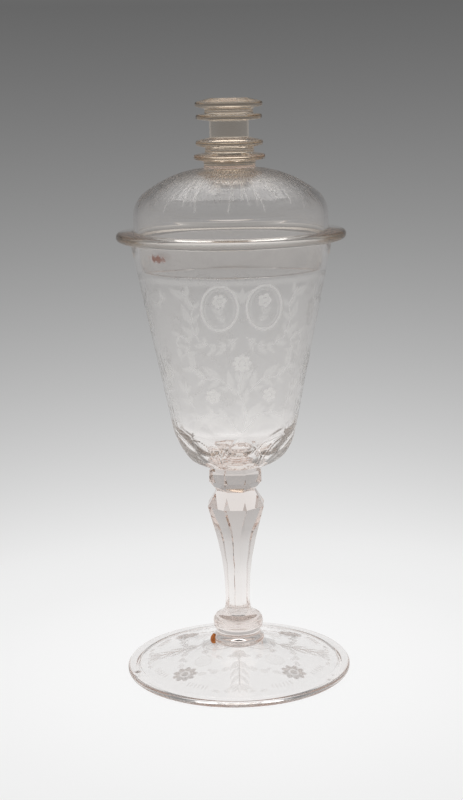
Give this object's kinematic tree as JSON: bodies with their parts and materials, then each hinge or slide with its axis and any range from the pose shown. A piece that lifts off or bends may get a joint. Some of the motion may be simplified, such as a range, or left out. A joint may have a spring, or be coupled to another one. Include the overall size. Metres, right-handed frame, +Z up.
{
  "type": "pokal goblet",
  "caption": "Covered glass goblet: folded conical foot, fluted baluster stem with knops, tall tapering bowl with cut petals, and a lift-off domed cover with a ringed finial.",
  "frame": {"origin": "middle of the foot, on the surface that the goblet stands on", "axes": "+Z up along the goblet's axis; -Y faces the picture's camera"},
  "size_m": [0.114, 0.114, 0.2876],
  "materials": {
    "foot_glass": "clear, wheel-engraved on top",
    "stem_glass": "clear, cut and polished",
    "bowl_glass": "clear, wheel-engraved outside",
    "cover_glass": "clear, wheel-engraved on the dome",
    "finial_glass": "clear, fire-polished",
    "sealing_wax": "old wax, dull"
  },
  "bodies": {
    "goblet": {"foot": "foot_glass", "foot_collar": "stem_glass", "lower_knop": "stem_glass", "stem": "stem_glass", "upper_knop": "stem_glass", "bowl": "bowl_glass", "wax_bead": "sealing_wax"},
    "cover": {"cover_rim": "cover_glass", "cover_dome": "cover_glass", "finial_neck": "finial_glass", "finial_ring_1": "finial_glass", "finial_waist_1": "finial_glass", "finial_ring_2": "finial_glass", "finial_shaft": "finial_glass", "finial_ring_3": "finial_glass", "finial_waist_2": "finial_glass", "finial_ring_4": "finial_glass"}
  },
  "joints": [
    {"name": "cover_lift", "type": "slide", "parent": "goblet", "child": "cover", "axis": [0, 0, 1], "range_m": [0, 0.12]}
  ]
}
